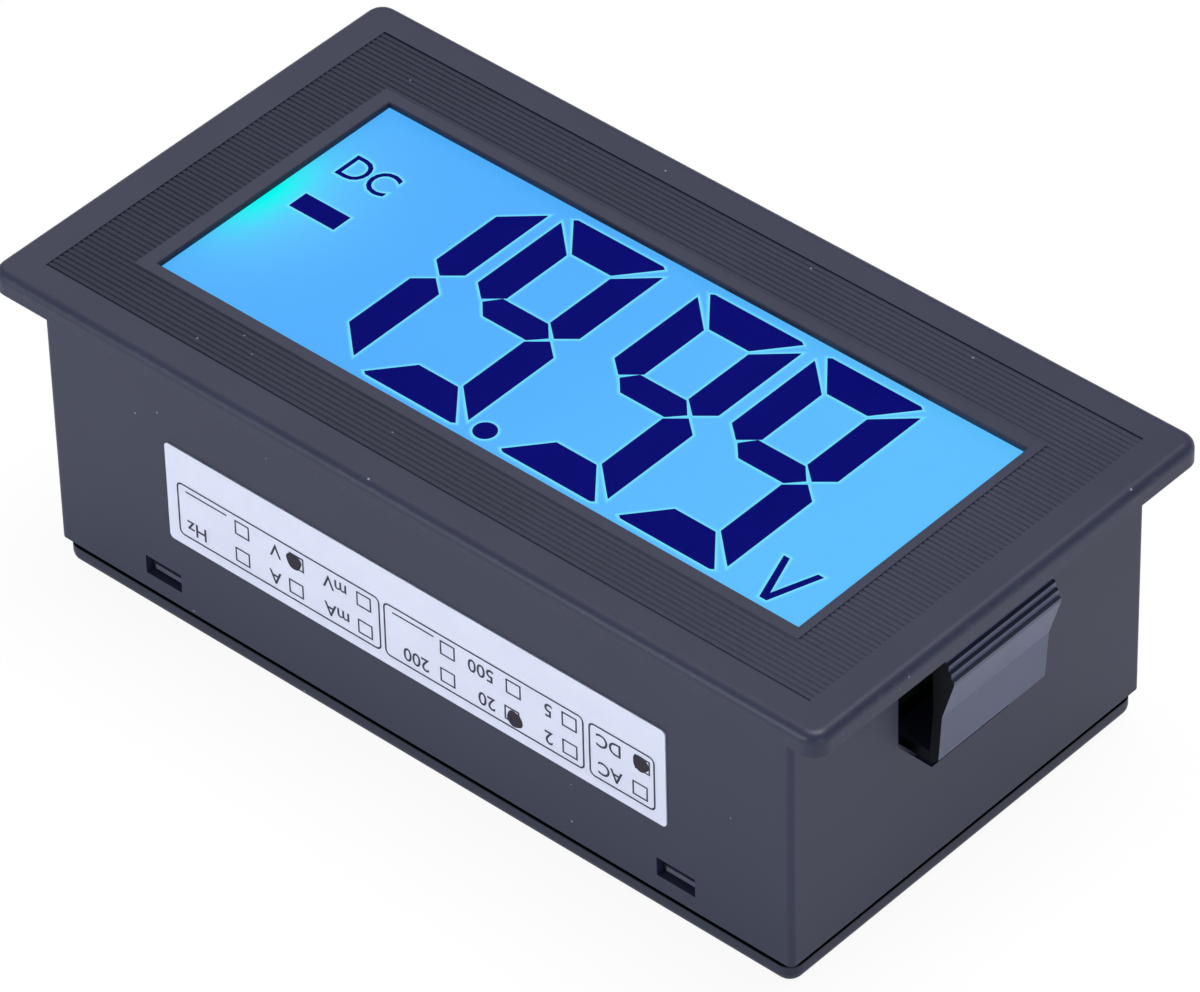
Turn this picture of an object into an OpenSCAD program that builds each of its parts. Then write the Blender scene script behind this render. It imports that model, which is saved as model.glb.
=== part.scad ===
// Panel-mounting LCD meter with a backlit 3 1/2 digit display.
// The meter lies on its rear cover: the origin is the middle of the cover's rear face,
// +Z points out of the display, +X runs to the display's right and +Y to its top.
// All sizes are in millimetres.

/* [Bezel] */
// Width of the bezel flange
bezel_w = 79; // [78:0.5:84]
// Height of the bezel flange
bezel_h = 42; // [41.5:0.5:46]
// Thickness of the flange at its rim
bezel_t = 1.9; // [1.6:0.1:2.4]
// Radius of the flange's corners, seen from the front
bezel_corner_r = 1.5; // [1.2:0.1:3]
// Radius of the flange's front edge
bezel_edge_r = 0.8; // [0.3:0.1:1.1]
// Thickness of the front wall behind the bezel face
front_wall = 2.2; // [1.9:0.1:2.6]
// Width of the ribbed band, measured over its outer edges
band_w = 72.8; // [70:0.2:74]
// Height of the ribbed band, measured over its outer edges
band_h = 36.2; // [33:0.2:37]
// Depth of the band's floor below the bezel face
band_depth = 0.14; // [0.1:0.02:0.3]
// Distance from one rib to the next
rib_pitch = 0.5; // [0.4:0.05:1]
// Height of the ribs above the band's floor
rib_h = 0.1; // [0.06:0.02:0.2]

/* [Housing] */
// Width of the housing behind the flange
body_w = 71.5; // [71:0.1:74]
// Height of the housing behind the flange
body_h = 38.7; // [38:0.1:40]
// Depth from the bezel face to the rear cover's outer face
depth = 27; // [26:0.5:32]
// Wall thickness of the housing
wall = 1.6; // [1.4:0.1:1.9]
// Radius of the housing's long corners
body_corner_r = 0.5; // [0.3:0.1:1.2]
// Chamfer round the housing's rear rim
rim_chamfer = 0.3; // [0.1:0.1:0.5]
// Width of the ribs that seat the board
seat_rib_w = 1.6; // [1.2:0.2:2.4]

/* [Rear cover] */
// Thickness of the rear cover's plate
cover_t = 1.7; // [1.4:0.1:2.2]
// How far the cover stands in from the housing's sides
cover_inset = 0.22; // [0:0.02:0.4]
// Radius of the cover's corners
cover_corner_r = 1.2; // [1.1:0.1:2.5]
// Radius of the cover's rear edge
cover_edge_r = 0.9; // [0.3:0.1:1]
// Open seam between the cover and the housing
seam = 0.25; // [0.1:0.05:0.4]
// Height of the cover's skirt inside the housing
skirt_h = 1.6; // [1:0.2:1.8]
// Thickness of the skirt
skirt_t = 1.1; // [0.8:0.1:1.4]
// Distance of the snap hooks from the middle, along the width
hook_x = 25; // [22:0.5:28]
// Width of the snap slots in the long walls
slot_w = 3.6; // [3:0.2:5]
// Height of the snap slots
slot_h = 1.7; // [1.4:0.1:2]
// Height of the slots' middle above the rear face
slot_z = 4.5; // [4.2:0.1:5]

/* [Snap clips] */
// Half-width of a clip
clip_half_w = 5.85; // [4.5:0.05:6.2]
// Thickness of a clip's leaf
clip_t = 0.8; // [0.6:0.05:1]
// How far the clip's foot stands out from the side wall
clip_foot_out = 1.95; // [1.6:0.05:2.2]
// How far the leaf's knee stands out
clip_knee_out = 2.25; // [2:0.05:2.5]
// How far the clip's crest stands out
clip_crest_out = 3.3; // [2.8:0.05:3.5]
// Drop from one gripping step to the next
clip_step = 0.62; // [0.5:0.02:0.7]
// How far each step stands in from the one before it
clip_step_in = 0.25; // [0.15:0.01:0.3]
// Number of gripping steps
clip_steps = 4; // [2:1:4]
// Height of the foot above the rear face
clip_foot_z = 13.2; // [12.8:0.1:13.6]
// How far the crest lies behind the flange
clip_crest_drop = 3.6; // [3.3:0.1:4.6]
// Half-width of the window behind a clip
clip_window_half_w = 7.9; // [7.2:0.1:8.5]

/* [Display] */
// Width of the display opening
window_w = 61.1; // [58:0.1:62]
// Distance from the housing's long walls to the display opening, on average
window_margin = 7; // [6.6:0.1:7.5]
// How far the opening stands to the right of the bezel's middle
window_right = 0.25; // [0:0.05:0.3]
// How far the opening stands below the bezel's middle
window_below = 0.35; // [0:0.05:0.4]
// Width of the slope round the display opening
window_slope = 0.1; // [0.1:0.1:0.4]
// How far that slope falls
window_drop = 0.1; // [0.1:0.05:0.3]
// Smooth border between the opening and the ribbed band
window_rim = 1.1; // [0.9:0.1:1.6]
// Depth of the display's face below the bezel face
display_recess = 0.5; // [0.4:0.05:0.9]
// Thickness of each polarizer film
film_t = 0.12; // [0.08:0.02:0.2]
// Thickness of each display glass
glass_t = 0.4; // [0.3:0.05:0.55]
// Gap between the two glasses, filled by the liquid crystal
cell_gap = 0.04; // [0.03:0.01:0.06]
// How far the glasses reach past the opening at each end
glass_border = 2.5; // [2:0.1:2.6]
// Width of the contact ledge along each long edge of the rear glass
ledge = 1.4; // [1.2:0.1:1.5]

/* [Digits] */
// Distance from the ends of a digit to the long edges of the display opening
digit_margin = 0.9; // [0.4:0.1:2]
// Width of a digit
digit_w = 9.9; // [8.5:0.1:10.2]
// Width of the upright segments
upright_w = 2.85; // [2:0.05:3]
// Width of the top and bottom segments
bar_w = 3.25; // [2:0.05:3.4]
// Width of the middle segment
middle_w = 2.4; // [1.8:0.05:2.6]
// Gap between neighbouring segments
segment_gap = 0.4; // [0.25:0.05:0.6]
// Distance from one digit to the next
digit_pitch = 11.12; // [10.7:0.02:11.6]
// Extra distance where the decimal point stands
point_space = 2.1; // [1.9:0.1:2.6]

/* [Backlight] */
// Thickness of the diffuser film
diffuser_t = 0.2; // [0.1:0.05:0.3]
// Thickness of the light guide
guide_t = 2.4; // [2:0.1:3]
// Thickness of the tray's walls and floor
tray_t = 0.7; // [0.5:0.1:0.9]

/* [Electronics] */
// Thickness of the boards
board_t = 1.6; // [1.2:0.2:1.6]
// Height of the main board's rear face above the rear face of the meter
board_z = 12.4; // [12.2:0.1:12.8]
// Distance between neighbouring contact pins
pin_pitch = 2.54; // [2:0.02:2.54]
// Number of contact pins along each long edge
pin_count = 20; // [10:1:20]
// Length of a resistor's body
resistor_len = 6.2; // [5:0.2:6.6]
// Number of resistors
resistor_count = 6; // [2:1:6]

/* [Terminals] */
// Distance from one terminal to the next
terminal_pitch = 7.62; // [7:0.02:7.9]
// Thickness of the walls between the terminals
barrier_t = 1.2; // [1:0.1:1.4]
// Depth of the wells
well_depth = 6; // [5.6:0.1:6.4]
// Diameter of the screws' thread
screw_d = 3; // [2.5:0.1:3]

/* [Label] */
// Width of the range label
label_w = 48.2; // [40:0.2:49]
// Height of the range label
label_h = 9.1; // [7:0.1:10]
// Thickness of the range label
label_t = 0.1; // [0.06:0.01:0.15]

/* [Hidden] */
$fn = 48;
RIGHT = 1;
LEFT = -1;
SIDES = [LEFT, RIGHT];
over = 1;                               // how far a cut runs past the face that it opens
small_round = 16;                       // facets round a small hole or wire
fuse = 0.1;                             // how far a piece is sunk into the one that carries it

// Bezel, as shares of the distance between ribs
rib_foot = 0.36;                        // half-width of a rib at the band's floor
rib_crest = 0.2;                        // half-width of its crest

// Housing and cover
inner_w = body_w - 2 * wall;
inner_h = body_h - 2 * wall;
cover_w = body_w - 2 * cover_inset;
cover_h = body_h - 2 * cover_inset;
body_z = cover_t + seam;                // rear rim of the housing
flange_z = depth - bezel_t;             // rear face of the flange
front_z = depth - front_wall;           // inner face of the front wall
skirt_play = 0.1;                       // clearance between the skirt and the housing
hook_play = 0.2;                        // clearance of a hook in its slot
hook_t = 1.2;
hook_reach = 1.1;                       // how far the hook's nose enters the slot
hook_nose = 1.2;                        // height of a hook's end past its catch
hook_ease = 0.5;
hook_gap = 0.6;                         // room in the skirt to each side of a hook

// Display stack, from the front to the rear
film_overlap = 0.7;                     // how far the films reach under the opening's lip
pocket_play = 0.2;
segment_play = 0.01;                    // left between the segments and the front glass
window_h = body_h - 2 * window_margin;
display_z = depth - display_recess;
front_glass_z = display_z - film_t - glass_t;
cell_z = front_glass_z - cell_gap;
rear_glass_z = cell_z - glass_t;
rear_film_z = rear_glass_z - film_t;
film_w = window_w + 2 * film_overlap;
film_h = window_h + 2 * film_overlap;
glass_w = window_w + 2 * glass_border;
front_glass_h = window_h + 3;
rear_glass_h = front_glass_h + 2 * ledge;
pin_w = 0.5;
pin_t = 0.2;
pocket_w = glass_w + 2 * pocket_play;
pocket_h = rear_glass_h + 2 * (pin_t + pocket_play);
seal_w = 0.9;
seal_inset = 0.3;

// Backlight, from the front to the rear
diffuser_z = rear_film_z - diffuser_t;
guide_z = diffuser_z - guide_t;
tray_z = guide_z - tray_t;
guide_play = 0.15;
guide_h = film_h + 0.6;
guide_right = glass_w / 2 - tray_t - guide_play - 0.1;
tray_w = glass_w - 0.2;
tray_h = guide_h + 2 * (guide_play + tray_t);
led_w = 3.4;
led_t = 1.4;
led_h = 1.9;
led_board_t = 0.8;
led_board_w = 8;
led_board_x = -tray_w / 2 + 0.15;
led_x = led_board_x + led_board_t;
guide_left = led_x + led_t + 0.1;
led_pin_spread = 2.54;
led_pin_t = 0.5;
led_board_below = 2;                    // how far the lamp's board reaches below the tray
led_board_play = 0.15;
lens_rim = 0.3;
lens_depth = 0.3;

// Main board and what stands on it
board_play = 0.3;
board_w = inner_w - 2 * board_play;
board_h = inner_h - 2 * board_play;
board_front = board_z + board_t;
board_top = board_h / 2;                // upper edge, from which the parts' places are measured
pin_y = rear_glass_h / 2 + pin_t / 2;
pin_tail = 0.6;
pin_front_grip = 1;                     // how far a pin reaches over the rear glass's front face
pin_rear_grip = 0.7;
pin_hole_r = 0.4;
seat_reach = 1.5;                       // how far the seating ribs stand in from the wall
seat_xs = [-inner_w / 2 + 2.4, -inner_w / 6, inner_w / 6, inner_w / 2 - 2.4];
post_r = 1.6;
post_inset = [5, 4];                    // from the housing's inner faces to a post's middle
post_x = inner_w / 2 - post_inset[0];
post_y = inner_h / 2 - post_inset[1];
chip_w = 52.3;
chip_h = 13.8;
chip_t = 3.8;
chip_standoff = 0.5;
chip_row = 15.24;                       // distance between the chip's two rows of legs
chip_leg_pitch = 2.54;
chip_leg_count = 20;
chip_leg_w = 0.5;
chip_leg_t = 0.3;
chip_dimple_r = 1.2;
chip_dimple_depth = 0.6;
film_cap = [7.2, 3, 6.6];
film_cap_y = board_top - 13.85;
film_cap_pitch = 8.6;
can_r = 2.5;
can_h = 7.5;
can_y = board_top - 6.85;
can_pitch = 6.2;
can_ease = 0.4;
resistor_r = 1.15;
resistor_wire_r = 0.3;
resistor_gap = 3.2;
resistor_shoulder = 0.7;                // straight wire beside a resistor, up to its bend
resistor_y = board_top - 4.85;
regulator_x = -23;
regulator_y = board_top - 8.95;
regulator_h = 4.8;
regulator_r = 2.4;
regulator_flat = 1.4;                   // distance of the flat face from the middle
regulator_lead = 1.5;
regulator_lead_t = 0.5;
regulator_lead_pitch = 1.27;

// Trimmer
trimmer = [9.5, 4.8, 10];
trimmer_x = 23;
trimmer_y = board_top - 8.95;
trimmer_screw_x = trimmer_x + 3.2;
trimmer_screw_r = 1.1;
trimmer_play = 0.05;
trimmer_head = 0.5;
trimmer_bore = 3;
trimmer_slot = 0.5;                     // width and depth of the slot in the trimmer's screw
access_r = 1.9;

// Terminal block
terminal_count = 4;
terminal_y = 8.85 - board_top;
terminal_h = 12.2;
terminal_w = terminal_count * terminal_pitch + barrier_t;
terminal_rear = 0.4;                    // rear face of the block, inside the cover's face
terminal_play = 0.2;
terminal_wall = 1;
well_w = terminal_pitch - barrier_t;
well_h = terminal_h - 2 * terminal_wall;
well_z = terminal_rear + well_depth;
plate_t = 0.8;
plate_play = 0.1;
clamp = 5.4;                            // side of the square clamping washer
clamp_t = 0.8;
screw_y = terminal_y + well_h / 2 - clamp / 2 - 0.3;
screw_r = screw_d / 2;
screw_play = 0.06;
screw_len = 3.8;
screw_end_play = 0.8;                   // room past the screw's end
head_r = 2.6;
head_t = 1.9;
slot_t = 0.8;
slot_depth = 1.1;
seat_gap = 0.05;                        // gap under a clamping washer
tail_w = 1;                             // side of a contact plate's square tail
tail_play = 0.1;
tail_hole_r = 0.8;
tail_y = terminal_y - well_h / 2 + 1.5;
tail_end = 0.6;                         // how far a tail stands out of the board

// Snap clips
clip_pivot_in = 2.45;                   // distance of the pivot inside the wall's outer face
clip_pivot_z = 9.7;
clip_bead_r = 0.6;
clip_bead_play = 0.08;
clip_foot_t = 1;
clip_foot_ease = 0.5;
clip_knee_drop = 3.5;                   // height of the leaf's flat face between knee and crest
clip_crest_z = flange_z - clip_crest_drop;
clip_knee_z = clip_crest_z - clip_knee_drop;
clip_rib_flat = 0.3;                    // height of a rib's square face on the clip's head
clip_rib_root = 0.42;                   // height over a rib's start at which the next slope starts
clip_head_in = 1.35;                    // inner face of the clip's head, outside the wall
clip_ear_half_w = clip_window_half_w + 0.9;
clip_ear_h = 1.5;
clip_leg_out = -wall - 0.1;             // outer face of the leg, just inside the wall
clip_leg_top = clip_foot_z + clip_foot_t;
clip_window_low_half_w = 4.2;
clip_window_low_z = 10.8;
clip_window_knee_z = 15.3;
clip_window_top = front_z - 0.4;
socket_wall = 0.8;
socket_end = 1;                         // how far a socket runs past the ends of the bead
socket_lip = 0.5;                       // height of the socket's free lip above the bead's middle
ear_play = 0.5;                         // room beside a clip's ears in the board's notch
notch_play = 0.9;                       // room between a clip's leg and the board's notch

// Digits
digit_h = window_h - 2 * digit_margin;
digits_y = 0.15;                        // the digits stand a little high in the opening
point_r = 0.92;
first_digit_x = -18.16;                 // middle of the leading digit's cell
minus_w = 4.45;
minus_h = 1.85;
minus_x = -26.34;
NINE = ["a", "b", "c", "d", "f", "g"];
ONE = ["b", "c"];

// Label
label_x = 0.2;
label_z = 13.4;
label_corner_r = 0.4;

// ---- shared shapes ----

module rounded_rect(w, h, r) {
    square([w - 2 * r, h], center = true);
    square([w, h - 2 * r], center = true);
    for (x = SIDES, y = SIDES) translate([x * (w / 2 - r), y * (h / 2 - r)]) circle(r);
}

module plate(w, h, t, r = 0) {
    linear_extrude(t) if (r > 0) rounded_rect(w, h, r); else square([w, h], center = true);
}

// Cross-section of a slab whose two upper edges are rounded
module eased_section(w, t, edge_r) {
    translate([-w / 2, 0]) square([w, t - edge_r]);
    translate([-w / 2 + edge_r, 0]) square([w - 2 * edge_r, t]);
    for (x = SIDES) translate([x * (w / 2 - edge_r), t - edge_r]) circle(edge_r);
}

// Slab with round corners in plan and a rounded upper edge all the way round
module eased_slab(w, h, t, corner_r, edge_r) {
    rotate([90, 0, 90]) linear_extrude(w - 2 * corner_r, center = true) eased_section(h, t, edge_r);
    rotate([90, 0, 0]) linear_extrude(h - 2 * corner_r, center = true) eased_section(w, t, edge_r);
    for (x = SIDES, y = SIDES) translate([x * (w / 2 - corner_r), y * (h / 2 - corner_r), 0])
        rotate_extrude() intersection() {
            eased_section(2 * corner_r, t, edge_r);
            square([corner_r, t]);
        }
}

// Four-sided opening that widens upwards by grow over the height t
module flared_opening(w, h, t, grow) {
    intersection() {
        rotate([90, 0, 0]) linear_extrude(h + 4 * grow, center = true) flare(w, t, grow);
        rotate([90, 0, 90]) linear_extrude(w + 4 * grow, center = true) flare(h, t, grow);
    }
}

module flare(w, t, grow) {
    polygon([[-w / 2, 0], [w / 2, 0], [w / 2 + grow, t], [-w / 2 - grow, t]]);
}

// Extrudes a side profile, drawn as [distance outwards, height], across a clip's width
module across(half_w) {
    rotate([90, 0, 0]) linear_extrude(2 * half_w, center = true) children();
}

// ---- housing ----

// Outline of the smooth border round the display opening
module smooth_border() {
    translate([0, -window_below])
        square([window_w + 2 * window_rim, window_h + 2 * window_rim], center = true);
}

module ribbed_band() {
    count = floor((band_h - rib_pitch) / rib_pitch);
    start = -count * rib_pitch / 2;
    foot = rib_pitch * rib_foot;
    crest = rib_pitch * rib_crest;
    teeth = [for (i = [0:count]) let (y = start + i * rib_pitch)
        each [[y - foot, 0], [y - crest, rib_h], [y + crest, rib_h], [y + foot, 0]]];
    translate([0, 0, depth - band_depth]) difference() {
        rotate([90, 0, 90]) linear_extrude(band_w, center = true)
            polygon(concat([[start - foot, -fuse]], teeth, [[start + count * rib_pitch + foot, -fuse]]));
        translate([0, 0, -over]) linear_extrude(2 * over) smooth_border();
    }
}

module housing_shell() {
    difference() {
        union() {
            translate([0, 0, body_z + rim_chamfer])
                plate(body_w, body_h, flange_z - body_z, body_corner_r);
            translate([0, 0, body_z])
                plate(body_w - 2 * rim_chamfer, body_h - 2 * rim_chamfer, rim_chamfer, body_corner_r);
            translate([0, 0, flange_z])
                eased_slab(bezel_w, bezel_h, bezel_t, bezel_corner_r, bezel_edge_r);
        }
        translate([0, 0, body_z - over]) plate(inner_w, inner_h, front_z - body_z + over);
    }
}

module seat_ribs() {
    for (x = seat_xs, y = SIDES)
        translate([x, y * (inner_h / 2 - seat_reach / 2 + fuse / 2), board_front])
            plate(seat_rib_w, seat_reach + fuse, front_z - board_front + fuse);
}

// Trough behind a side wall that holds the bead of a clip and is open towards the wall above it
module clip_socket() {
    x = body_w / 2 - clip_pivot_in;
    bore_r = clip_bead_r + clip_bead_play;
    block_r = bore_r + socket_wall;
    length = 2 * (clip_half_w + socket_end);
    to_wall = clip_pivot_in - wall;
    difference() {
        translate([x - block_r, -length / 2, clip_pivot_z - block_r])
            cube([block_r + to_wall + fuse, length, block_r + socket_lip]);
        translate([x, 0, clip_pivot_z]) rotate([90, 0, 0])
            cylinder(h = length + 2 * over, r = bore_r, center = true);
        translate([x - bore_r + 0.05, -length / 2 - over, clip_pivot_z])
            cube([bore_r - 0.05 + to_wall, length + 2 * over, socket_lip + over]);
    }
}

module clip_window() {
    translate([body_w / 2 - wall - over, 0, 0]) rotate([90, 0, 90]) linear_extrude(wall + 2 * over)
        polygon([[-clip_window_half_w, clip_window_top], [-clip_window_half_w, clip_window_knee_z],
                 [-clip_window_low_half_w, clip_window_low_z], [clip_window_low_half_w, clip_window_low_z],
                 [clip_window_half_w, clip_window_knee_z], [clip_window_half_w, clip_window_top]]);
}

module front_housing() color([0.16, 0.16, 0.19]) {
    difference() {
        union() {
            housing_shell();
            seat_ribs();
            clip_socket();
            mirror([1, 0, 0]) clip_socket();
        }
        // Ribbed band's floor, leaving the smooth border round the opening
        translate([0, 0, depth - band_depth]) linear_extrude(over) difference() {
            square([band_w, band_h], center = true);
            smooth_border();
        }
        // Display opening and its eased edge
        translate([window_right, -window_below, 0]) {
            translate([0, 0, front_z - over]) plate(window_w, window_h, front_wall + 2 * over);
            translate([0, 0, depth - window_drop])
                flared_opening(window_w, window_h, 2 * window_drop, 2 * window_slope);
        }
        // Pocket behind the opening that takes the display glass
        translate([0, 0, front_z - over]) plate(pocket_w, pocket_h, display_z - front_z + over);
        clip_window();
        mirror([1, 0, 0]) clip_window();
        for (x = SIDES) translate([x * hook_x - slot_w / 2, -body_h / 2 - over, slot_z - slot_h / 2])
            cube([slot_w, body_h + 2 * over, slot_h]);
    }
    ribbed_band();
}

// ---- rear cover ----

module cover_hook() {
    back = inner_h / 2 - skirt_play - hook_t;
    face = back + hook_t;
    catch_z = slot_z - slot_h / 2 + hook_play;
    ramp_z = slot_z + slot_h / 2 - hook_play;
    top = ramp_z + hook_nose;
    rotate([90, 0, 90]) linear_extrude(slot_w - 2 * hook_play, center = true)
        polygon([[back, cover_t - fuse], [back, top], [face - hook_ease, top], [face, top - hook_ease],
                 [face, ramp_z], [face + hook_reach, slot_z],
                 [face + hook_reach, catch_z], [face, catch_z], [face, cover_t - fuse]]);
}

module rear_cover() color([0.15, 0.15, 0.18]) {
    difference() {
        union() {
            translate([0, 0, cover_t]) mirror([0, 0, 1])
                eased_slab(cover_w, cover_h, cover_t, cover_corner_r, cover_edge_r);
            translate([0, 0, cover_t - fuse]) difference() {
                plate(inner_w - 2 * skirt_play, inner_h - 2 * skirt_play, skirt_h + fuse);
                translate([0, 0, -over])
                    plate(inner_w - 2 * (skirt_play + skirt_t), inner_h - 2 * (skirt_play + skirt_t),
                          skirt_h + 2 * over);
                for (x = SIDES) translate([x * hook_x - slot_w / 2 - hook_gap, -body_h / 2, -over])
                    cube([slot_w + 2 * hook_gap, body_h, skirt_h + 2 * over]);
            }
            for (x = SIDES, y = SIDES) translate([x * post_x, y * post_y, cover_t - fuse])
                cylinder(h = board_z - cover_t + fuse, r = post_r);
            for (x = SIDES, y = [0, 180]) rotate([0, 0, y]) translate([x * hook_x, 0, 0]) cover_hook();
        }
        // Opening for the terminal block
        translate([0, terminal_y, -over])
            plate(terminal_w + 2 * terminal_play, terminal_h + 2 * terminal_play, cover_t + 2 * over);
        // Hole over the trimmer's screw
        translate([trimmer_screw_x, trimmer_y, -over]) cylinder(h = cover_t + 2 * over, r = access_r);
    }
}

// ---- snap clips ----

module snap_clip() color([0.2, 0.2, 0.24]) translate([body_w / 2, 0, 0]) {
    // Leaf, foot and gripping head in one side profile
    across(clip_half_w) polygon(concat(
        [[clip_leg_out - clip_t, clip_leg_top], [clip_leg_out - clip_t, clip_foot_z],
         [clip_foot_out - clip_foot_ease, clip_foot_z], [clip_foot_out, clip_foot_z + clip_foot_ease],
         [clip_knee_out, clip_knee_z]],
        [for (i = [0:clip_steps - 1]) each
            [[clip_crest_out - i * clip_step_in, clip_crest_z + i * clip_step],
             [clip_crest_out - i * clip_step_in, clip_crest_z + i * clip_step + clip_rib_flat],
             [clip_crest_out - (i + 1) * clip_step_in, clip_crest_z + i * clip_step + clip_rib_root]]],
        [[clip_crest_out - clip_steps * clip_step_in, clip_crest_z + clip_steps * clip_step],
         [clip_head_in, clip_crest_z + clip_steps * clip_step],
         [clip_knee_out - clip_t, clip_knee_z],
         [clip_foot_out - clip_t, clip_leg_top]]));
    // Leg behind the wall, down to the bead
    across(clip_half_w) translate([clip_leg_out - clip_t, clip_pivot_z])
        square([clip_t, clip_leg_top - clip_pivot_z]);
    across(clip_half_w) translate([-clip_pivot_in, clip_pivot_z]) circle(clip_bead_r);
    // Ears that stop against the wall beside the window
    across(clip_ear_half_w) translate([clip_leg_out - clip_t, clip_leg_top - clip_ear_h])
        square([clip_t, clip_ear_h]);
}

// ---- label ----

module range_label() color([0.88, 0.89, 0.96])
    translate([label_x, -body_h / 2, label_z]) rotate([90, 0, 0])
        plate(label_w, label_h, label_t, label_corner_r);

// ---- display ----

module front_polarizer() color([0.35, 0.6, 0.8, 0.5])
    translate([0, 0, display_z - film_t]) plate(film_w, film_h, film_t);

module front_glass() color([0.8, 0.9, 0.95, 0.4])
    translate([0, 0, front_glass_z]) plate(glass_w, front_glass_h, glass_t);

module cell_seal() color([0.75, 0.75, 0.7]) translate([0, 0, cell_z]) difference() {
    plate(glass_w - 2 * seal_inset, front_glass_h - 2 * seal_inset, cell_gap);
    translate([0, 0, -over])
        plate(glass_w - 2 * (seal_inset + seal_w), front_glass_h - 2 * (seal_inset + seal_w),
              cell_gap + 2 * over);
}

// One segment of a digit whose cell is centred on the origin. The mitred ends follow the
// cell's corners, half a gap to each side of the mitre.
module segment(name) {
    w = digit_w / 2;
    h = digit_h / 2;
    g = segment_gap / 2;
    m = middle_w / 2;
    x = w - upright_w;
    y = h - bar_w;
    tip = w - upright_w / 2;
    reach = segment_gap * 0.75;
    nib = 0.18 * upright_w;
    if (name == "a")
        polygon([[-w + nib + reach, h], [w - nib - reach, h], [w - nib, h - 0.2],
                 [x - g, y], [-x + g, y], [-w + nib, h - 0.2]]);
    if (name == "d")
        mirror([0, 1]) segment("a");
    if (name == "b")
        polygon([[w - 0.25, h - 1 - g], [w, h - 0.8 - g], [w, m + g], [tip, g], [x, m + g],
                 [x, y - reach]]);
    if (name == "f")
        mirror([1, 0]) segment("b");
    if (name == "c")
        mirror([0, 1]) segment("b");
    if (name == "e")
        mirror([1, 0]) segment("c");
    if (name == "g")
        polygon([[-tip + reach, 0], [-x - 0.2, m], [x, m], [tip - reach, 0],
                 [x, -m], [-x, -m]]);
}

module digit(names) {
    for (name = names) segment(name);
}

module lcd_segments() color([0.03, 0.03, 0.4])
translate([0, digits_y, cell_z]) linear_extrude(cell_gap - segment_play) {
    translate([first_digit_x, 0]) digit(ONE);
    translate([first_digit_x + digit_pitch, 0]) digit(NINE);
    for (i = [2, 3]) translate([first_digit_x + i * digit_pitch + point_space, 0]) digit(NINE);
    translate([first_digit_x + 1.5 * digit_pitch + point_space / 2, -digit_h / 2 + point_r])
        circle(point_r);
    translate([minus_x, 0]) square([minus_w, minus_h], center = true);
}

module rear_glass() color([0.75, 0.88, 0.95, 0.5])
    translate([0, 0, rear_glass_z]) plate(glass_w, rear_glass_h, glass_t);

module rear_polarizer() color([0.4, 0.65, 0.85])
    translate([0, 0, rear_film_z]) plate(film_w, film_h, film_t);

// Row of contact pins that clip over the rear glass's ledge and run down through the board
module contact_pins() color([0.8, 0.8, 0.78])
    for (i = [0:pin_count - 1]) translate([(i - (pin_count - 1) / 2) * pin_pitch, 0, 0])
        rotate([90, 0, 90]) linear_extrude(pin_w, center = true) {
            y = rear_glass_h / 2;
            translate([y, board_z - pin_tail]) square([pin_t, cell_z + pin_t - board_z + pin_tail]);
            translate([y - pin_front_grip, cell_z]) square([pin_front_grip + pin_t, pin_t]);
            translate([y - pin_rear_grip, rear_glass_z - pin_t]) square([pin_rear_grip + pin_t, pin_t]);
        }

// ---- backlight ----

module diffuser_sheet() color([0.85, 0.92, 0.98])
    translate([0, 0, diffuser_z]) plate(film_w, film_h, diffuser_t);

module light_guide() color([0.7, 0.88, 1, 0.7])
    translate([guide_left, -guide_h / 2, guide_z]) cube([guide_right - guide_left, guide_h, guide_t]);

module backlight_tray() color([0.93, 0.94, 0.95]) difference() {
    translate([0, 0, tray_z]) plate(tray_w, tray_h, rear_film_z - tray_z);
    translate([-tray_w / 2 + tray_t, -guide_h / 2 - guide_play, guide_z])
        cube([tray_w - 2 * tray_t, guide_h + 2 * guide_play, rear_film_z - guide_z + over]);
    // Notch in the end wall and floor for the lamp's board
    translate([-tray_w / 2 - over, -led_board_w / 2 - led_board_play, tray_z - over])
        cube([over + led_board_t + 2 * led_board_play, led_board_w + 2 * led_board_play,
              rear_film_z - tray_z + 2 * over]);
}

module led_board() color([0.1, 0.35, 0.2]) {
    translate([led_board_x, -led_board_w / 2, tray_z - led_board_below])
        cube([led_board_t, led_board_w, rear_film_z - fuse - tray_z + led_board_below]);
    for (y = SIDES) translate([led_x, (y * led_pin_spread - led_pin_t) / 2, board_front])
        cube([led_pin_t, led_pin_t, tray_z - 2 * led_board_play - board_front]);
}

module backlight_led() color([0.95, 0.97, 1])
    translate([led_x, 0, guide_z + guide_t / 2]) difference() {
        translate([0, -led_w / 2, -led_h / 2]) cube([led_t, led_w, led_h]);
        translate([led_t - lens_depth, 0, 0]) rotate([0, 90, 0])
            cylinder(h = over, r = led_h / 2 - lens_rim);
    }

// ---- electronics ----

module main_board() color([0.08, 0.4, 0.25]) difference() {
    translate([0, 0, board_z]) plate(board_w, board_h, board_t);
    for (i = [0:pin_count - 1], y = SIDES)
        translate([(i - (pin_count - 1) / 2) * pin_pitch, y * pin_y, board_z - over])
            cylinder(h = board_t + 2 * over, r = pin_hole_r, $fn = small_round);
    for (i = [0:terminal_count - 1])
        translate([terminal_x(i), tail_y, board_z - over])
            cylinder(h = board_t + 2 * over, r = tail_hole_r, $fn = small_round);
    // Notches that leave the clips' legs room to swing
    for (x = SIDES) translate([x * board_w / 2, 0, board_z - over])
        plate(2 * (clip_t + notch_play), 2 * (clip_ear_half_w + ear_play), board_t + 2 * over);
}

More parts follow.
